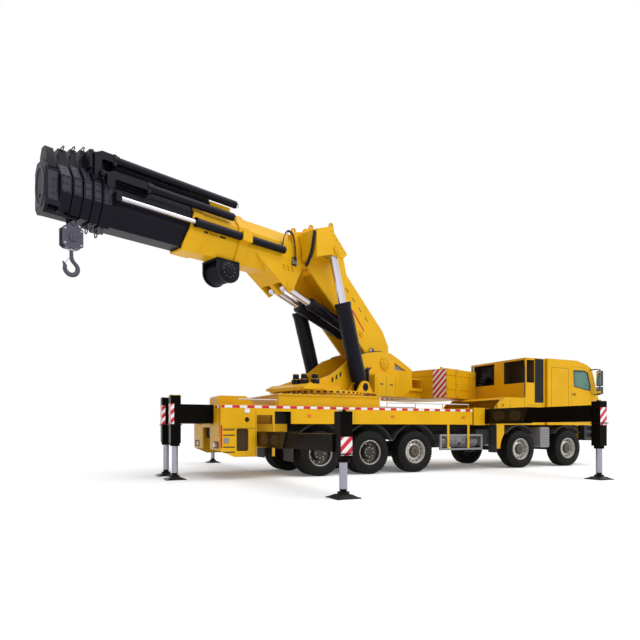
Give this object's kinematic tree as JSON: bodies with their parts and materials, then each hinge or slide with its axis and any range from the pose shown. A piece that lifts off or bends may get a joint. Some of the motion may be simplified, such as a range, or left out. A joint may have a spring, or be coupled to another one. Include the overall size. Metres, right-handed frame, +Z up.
{
  "type": "knuckle boom truck crane",
  "caption": "Knuckle boom crane with telescoping outer boom, hook block and counterweight on a multi-axle truck, standing on extended outriggers.",
  "frame": {"origin": "centre of the bounding box on the ground", "axes": "+X towards the cab, +Y to the left of the truck, +Z up"},
  "size_m": [15.6322, 10.35, 6.0968],
  "materials": {
    "black_paint": "satin",
    "black_plastic": "matte",
    "glass": "clear",
    "yellow_paint": "gloss",
    "frame_paint": "satin",
    "casting": "cast",
    "chrome_rod": "polished",
    "hook_paint": "satin",
    "jack_steel": "brushed",
    "grey_paint": "satin",
    "tyre": "worn rubber"
  },
  "bodies": {
    "chassis": {"chassis_frame": "frame_paint", "engine_block": "casting", "outrigger_boxes": "yellow_paint", "deck_body": "yellow_paint", "slew_base": "yellow_paint", "mudguards": "black_plastic", "cab_shell": "yellow_paint", "cab_glass": "glass", "cab_interior": "black_plastic", "front_bumper": "yellow_paint", "cab_fittings": "black_plastic", "cabinets": "yellow_paint", "side_tanks": "grey_paint"},
    "turntable": {"turntable": "yellow_paint", "counterweight": "yellow_paint"},
    "wheel_1_left": {"wheel_1_left": "tyre"},
    "knuckle_1_left": {"knuckle_1_left": "casting"},
    "wheel_1_right": {"wheel_1_right": "tyre"},
    "knuckle_1_right": {"knuckle_1_right": "casting"},
    "wheel_2_left": {"wheel_2_left": "tyre"},
    "knuckle_2_left": {"knuckle_2_left": "casting"},
    "wheel_2_right": {"wheel_2_right": "tyre"},
    "knuckle_2_right": {"knuckle_2_right": "casting"},
    "wheel_3_left": {"wheel_3_left": "tyre"},
    "wheel_3_right": {"wheel_3_right": "tyre"},
    "wheel_4_left": {"wheel_4_left": "tyre"},
    "wheel_4_right": {"wheel_4_right": "tyre"},
    "wheel_5_left": {"wheel_5_left": "tyre"},
    "wheel_5_right": {"wheel_5_right": "tyre"},
    "beam_outer_rear_right": {"beam_outer_rear_right": "black_paint"},
    "beam_inner_rear_right": {"beam_inner_rear_right": "black_paint"},
    "jack_rear_right": {"jack_rear_right": "jack_steel"},
    "beam_outer_rear_left": {"beam_outer_rear_left": "black_paint"},
    "beam_inner_rear_left": {"beam_inner_rear_left": "black_paint"},
    "jack_rear_left": {"jack_rear_left": "jack_steel"},
    "beam_outer_front_right": {"beam_outer_front_right": "black_paint"},
    "beam_inner_front_right": {"beam_inner_front_right": "black_paint"},
    "jack_front_right": {"jack_front_right": "jack_steel"},
    "beam_outer_front_left": {"beam_outer_front_left": "black_paint"},
    "beam_inner_front_left": {"beam_inner_front_left": "black_paint"},
    "jack_front_left": {"jack_front_left": "jack_steel"},
    "rear_beams": {"rear_beams": "black_paint"},
    "rear_jack_left": {"rear_jack_left": "jack_steel"},
    "rear_jack_right": {"rear_jack_right": "jack_steel"},
    "door_left": {"door_left": "yellow_paint"},
    "door_right": {"door_right": "yellow_paint"},
    "main_boom": {"main_boom": "yellow_paint"},
    "lift_barrels": {"lift_barrels": "black_paint"},
    "lift_rods": {"lift_rods": "chrome_rod"},
    "fold_barrels": {"fold_barrels": "black_paint"},
    "fold_rods": {"fold_rods": "chrome_rod"},
    "outer_boom": {"outer_boom": "yellow_paint", "winch": "black_paint"},
    "section_1": {"section_1": "black_paint"},
    "section_2": {"section_2": "black_paint"},
    "section_3": {"section_3": "black_paint"},
    "section_4": {"section_4": "black_paint"},
    "section_5": {"section_5": "black_paint"},
    "hook_block": {"hook_block": "hook_paint"},
    "hook": {"hook": "hook_paint"}
  },
  "joints": [
    {"name": "steer_1_left", "type": "hinge", "parent": "chassis", "child": "knuckle_1_left", "pos_m": [6.37113, 0.8, 0.538], "axis": [0, 0, 1], "range_deg": [-28, 28]},
    {"name": "roll_1_left", "type": "hinge", "parent": "knuckle_1_left", "child": "wheel_1_left", "pos_m": [6.37113, 1.05, 0.538], "axis": [0, 1, 0], "continuous": true},
    {"name": "steer_1_right", "type": "hinge", "parent": "chassis", "child": "knuckle_1_right", "pos_m": [6.37113, -0.8, 0.538], "axis": [0, 0, 1], "range_deg": [-28, 28]},
    {"name": "roll_1_right", "type": "hinge", "parent": "knuckle_1_right", "child": "wheel_1_right", "pos_m": [6.37113, -1.05, 0.538], "axis": [0, 1, 0], "continuous": true},
    {"name": "steer_2_left", "type": "hinge", "parent": "chassis", "child": "knuckle_2_left", "pos_m": [4.45113, 0.8, 0.538], "axis": [0, 0, 1], "range_deg": [-17.36, 17.36]},
    {"name": "roll_2_left", "type": "hinge", "parent": "knuckle_2_left", "child": "wheel_2_left", "pos_m": [4.45113, 1.05, 0.538], "axis": [0, 1, 0], "continuous": true},
    {"name": "steer_2_right", "type": "hinge", "parent": "chassis", "child": "knuckle_2_right", "pos_m": [4.45113, -0.8, 0.538], "axis": [0, 0, 1], "range_deg": [-17.36, 17.36]},
    {"name": "roll_2_right", "type": "hinge", "parent": "knuckle_2_right", "child": "wheel_2_right", "pos_m": [4.45113, -1.05, 0.538], "axis": [0, 1, 0], "continuous": true},
    {"name": "roll_3_left", "type": "hinge", "parent": "chassis", "child": "wheel_3_left", "pos_m": [0.80114, 1.05, 0.538], "axis": [0, 1, 0], "continuous": true},
    {"name": "roll_3_right", "type": "hinge", "parent": "chassis", "child": "wheel_3_right", "pos_m": [0.80114, -1.05, 0.538], "axis": [0, 1, 0], "continuous": true},
    {"name": "roll_4_left", "type": "hinge", "parent": "chassis", "child": "wheel_4_left", "pos_m": [-0.54887, 1.05, 0.538], "axis": [0, 1, 0], "continuous": true},
    {"name": "roll_4_right", "type": "hinge", "parent": "chassis", "child": "wheel_4_right", "pos_m": [-0.54887, -1.05, 0.538], "axis": [0, 1, 0], "continuous": true},
    {"name": "roll_5_left", "type": "hinge", "parent": "chassis", "child": "wheel_5_left", "pos_m": [-1.89887, 1.05, 0.538], "axis": [0, 1, 0], "continuous": true},
    {"name": "roll_5_right", "type": "hinge", "parent": "chassis", "child": "wheel_5_right", "pos_m": [-1.89887, -1.05, 0.538], "axis": [0, 1, 0], "continuous": true},
    {"name": "extend_rear_right", "type": "slide", "parent": "chassis", "child": "beam_outer_rear_right", "axis": [0, 1, 0], "range_m": [0, 1.935]},
    {"name": "extend_inner_rear_right", "type": "slide", "parent": "beam_outer_rear_right", "child": "beam_inner_rear_right", "axis": [0, 1, 0], "range_m": [0, 1.935]},
    {"name": "jack_rear_right_slide", "type": "slide", "parent": "beam_inner_rear_right", "child": "jack_rear_right", "axis": [0, 0, 1], "range_m": [0, 0.42]},
    {"name": "extend_rear_left", "type": "slide", "parent": "chassis", "child": "beam_outer_rear_left", "axis": [0, -1, 0], "range_m": [0, 1.935]},
    {"name": "extend_inner_rear_left", "type": "slide", "parent": "beam_outer_rear_left", "child": "beam_inner_rear_left", "axis": [0, -1, 0], "range_m": [0, 1.935]},
    {"name": "jack_rear_left_slide", "type": "slide", "parent": "beam_inner_rear_left", "child": "jack_rear_left", "axis": [0, 0, 1], "range_m": [0, 0.42]},
    {"name": "extend_front_right", "type": "slide", "parent": "chassis", "child": "beam_outer_front_right", "axis": [0, 1, 0], "range_m": [0, 1.735]},
    {"name": "extend_inner_front_right", "type": "slide", "parent": "beam_outer_front_right", "child": "beam_inner_front_right", "axis": [0, 1, 0], "range_m": [0, 1.735]},
    {"name": "jack_front_right_slide", "type": "slide", "parent": "beam_inner_front_right", "child": "jack_front_right", "axis": [0, 0, 1], "range_m": [0, 0.42]},
    {"name": "extend_front_left", "type": "slide", "parent": "chassis", "child": "beam_outer_front_left", "axis": [0, -1, 0], "range_m": [0, 1.735]},
    {"name": "extend_inner_front_left", "type": "slide", "parent": "beam_outer_front_left", "child": "beam_inner_front_left", "axis": [0, -1, 0], "range_m": [0, 1.735]},
    {"name": "jack_front_left_slide", "type": "slide", "parent": "beam_inner_front_left", "child": "jack_front_left", "axis": [0, 0, 1], "range_m": [0, 0.42]},
    {"name": "rear_beams_slide", "type": "slide", "parent": "chassis", "child": "rear_beams", "axis": [1, 0, 0], "range_m": [0, 0.69]},
    {"name": "rear_jack_left_slide", "type": "slide", "parent": "rear_beams", "child": "rear_jack_left", "axis": [0, 0, 1], "range_m": [0, 0.42]},
    {"name": "rear_jack_right_slide", "type": "slide", "parent": "rear_beams", "child": "rear_jack_right", "axis": [0, 0, 1], "range_m": [0, 0.42]},
    {"name": "door_left_hinge", "type": "hinge", "parent": "chassis", "child": "door_left", "pos_m": [7.43363, 1.239, 2], "axis": [0, 0, -1], "range_deg": [0, 70]},
    {"name": "door_right_hinge", "type": "hinge", "parent": "chassis", "child": "door_right", "pos_m": [7.43363, -1.239, 2], "axis": [0, 0, 1], "range_deg": [0, 70]},
    {"name": "slew", "type": "hinge", "parent": "chassis", "child": "turntable", "pos_m": [-1.29886, 0, 2], "axis": [0, 0, 1], "continuous": true},
    {"name": "lift", "type": "hinge", "parent": "turntable", "child": "main_boom", "pos_m": [0.56173, 0.6772, 2.95], "axis": [-0.342, 0.9397, 0], "range_deg": [-24, 34]},
    {"name": "lift_barrel_hinge", "type": "hinge", "parent": "turntable", "child": "lift_barrels", "pos_m": [-0.68807, 0.22231, 2.19], "axis": [-0.342, 0.9397, 0], "range_deg": [-21.64, 30.45]},
    {"name": "lift_rod_slide", "type": "slide", "parent": "lift_barrels", "child": "lift_rods", "axis": [-0.293, -0.1067, 0.9501], "range_m": [-0.6054, 0.8556]},
    {"name": "fold", "type": "hinge", "parent": "main_boom", "child": "outer_boom", "pos_m": [-1.95665, -0.23941, 5.5], "axis": [0.342, -0.9397, 0], "range_deg": [-27, 30]},
    {"name": "fold_barrel_hinge", "type": "hinge", "parent": "main_boom", "child": "fold_barrels", "pos_m": [-0.284, 0.36938, 3.684], "axis": [0.342, -0.9397, 0], "range_deg": [-3.92, 4.3]},
    {"name": "fold_rod_slide", "type": "slide", "parent": "fold_barrels", "child": "fold_rods", "axis": [-0.8943, -0.3255, 0.307], "range_m": [-0.6202, 0.5587]},
    {"name": "telescope_1", "type": "slide", "parent": "outer_boom", "child": "section_1", "axis": [-0.9397, -0.342, 0], "range_m": [0, 2.2]},
    {"name": "telescope_2", "type": "slide", "parent": "section_1", "child": "section_2", "axis": [-0.9397, -0.342, 0], "range_m": [0, 1.76]},
    {"name": "telescope_3", "type": "slide", "parent": "section_2", "child": "section_3", "axis": [-0.9397, -0.342, 0], "range_m": [0, 2.42]},
    {"name": "telescope_4", "type": "slide", "parent": "section_3", "child": "section_4", "axis": [-0.9397, -0.342, 0], "range_m": [0, 2.2]},
    {"name": "telescope_5", "type": "slide", "parent": "section_4", "child": "section_5", "axis": [-0.9397, -0.342, 0], "range_m": [0, 2.2]},
    {"name": "hook_block_swing", "type": "hinge", "parent": "section_5", "child": "hook_block", "pos_m": [-7.24712, -2.16499, 4.73], "axis": [-0.342, 0.9397, 0], "range_deg": [-35, 35]},
    {"name": "hook_swivel", "type": "hinge", "parent": "hook_block", "child": "hook", "pos_m": [-7.24712, -2.16499, 4.33], "axis": [0, 0, 1], "continuous": true}
  ],
  "couplings": [
    {"joint": "steer_1_right", "follows": "steer_1_left", "ratio": 1},
    {"joint": "steer_2_left", "follows": "steer_1_left", "ratio": 0.62},
    {"joint": "steer_2_right", "follows": "steer_1_left", "ratio": 0.62},
    {"joint": "extend_inner_rear_right", "follows": "extend_rear_right", "ratio": 1},
    {"joint": "extend_inner_rear_left", "follows": "extend_rear_left", "ratio": 1},
    {"joint": "extend_inner_front_right", "follows": "extend_front_right", "ratio": 1},
    {"joint": "extend_inner_front_left", "follows": "extend_front_left", "ratio": 1},
    {"joint": "lift_barrel_hinge", "follows": "lift", "ratio": 0.88101},
    {"joint": "lift_rod_slide", "follows": "lift", "m_per_rad": 1.4334},
    {"joint": "fold_barrel_hinge", "follows": "fold", "ratio": 0.12651},
    {"joint": "fold_rod_slide", "follows": "fold", "m_per_rad": -1.1749},
    {"joint": "telescope_2", "follows": "telescope_1", "ratio": 0.8},
    {"joint": "telescope_3", "follows": "telescope_1", "ratio": 1.1},
    {"joint": "telescope_4", "follows": "telescope_1", "ratio": 1},
    {"joint": "telescope_5", "follows": "telescope_1", "ratio": 1}
  ]
}
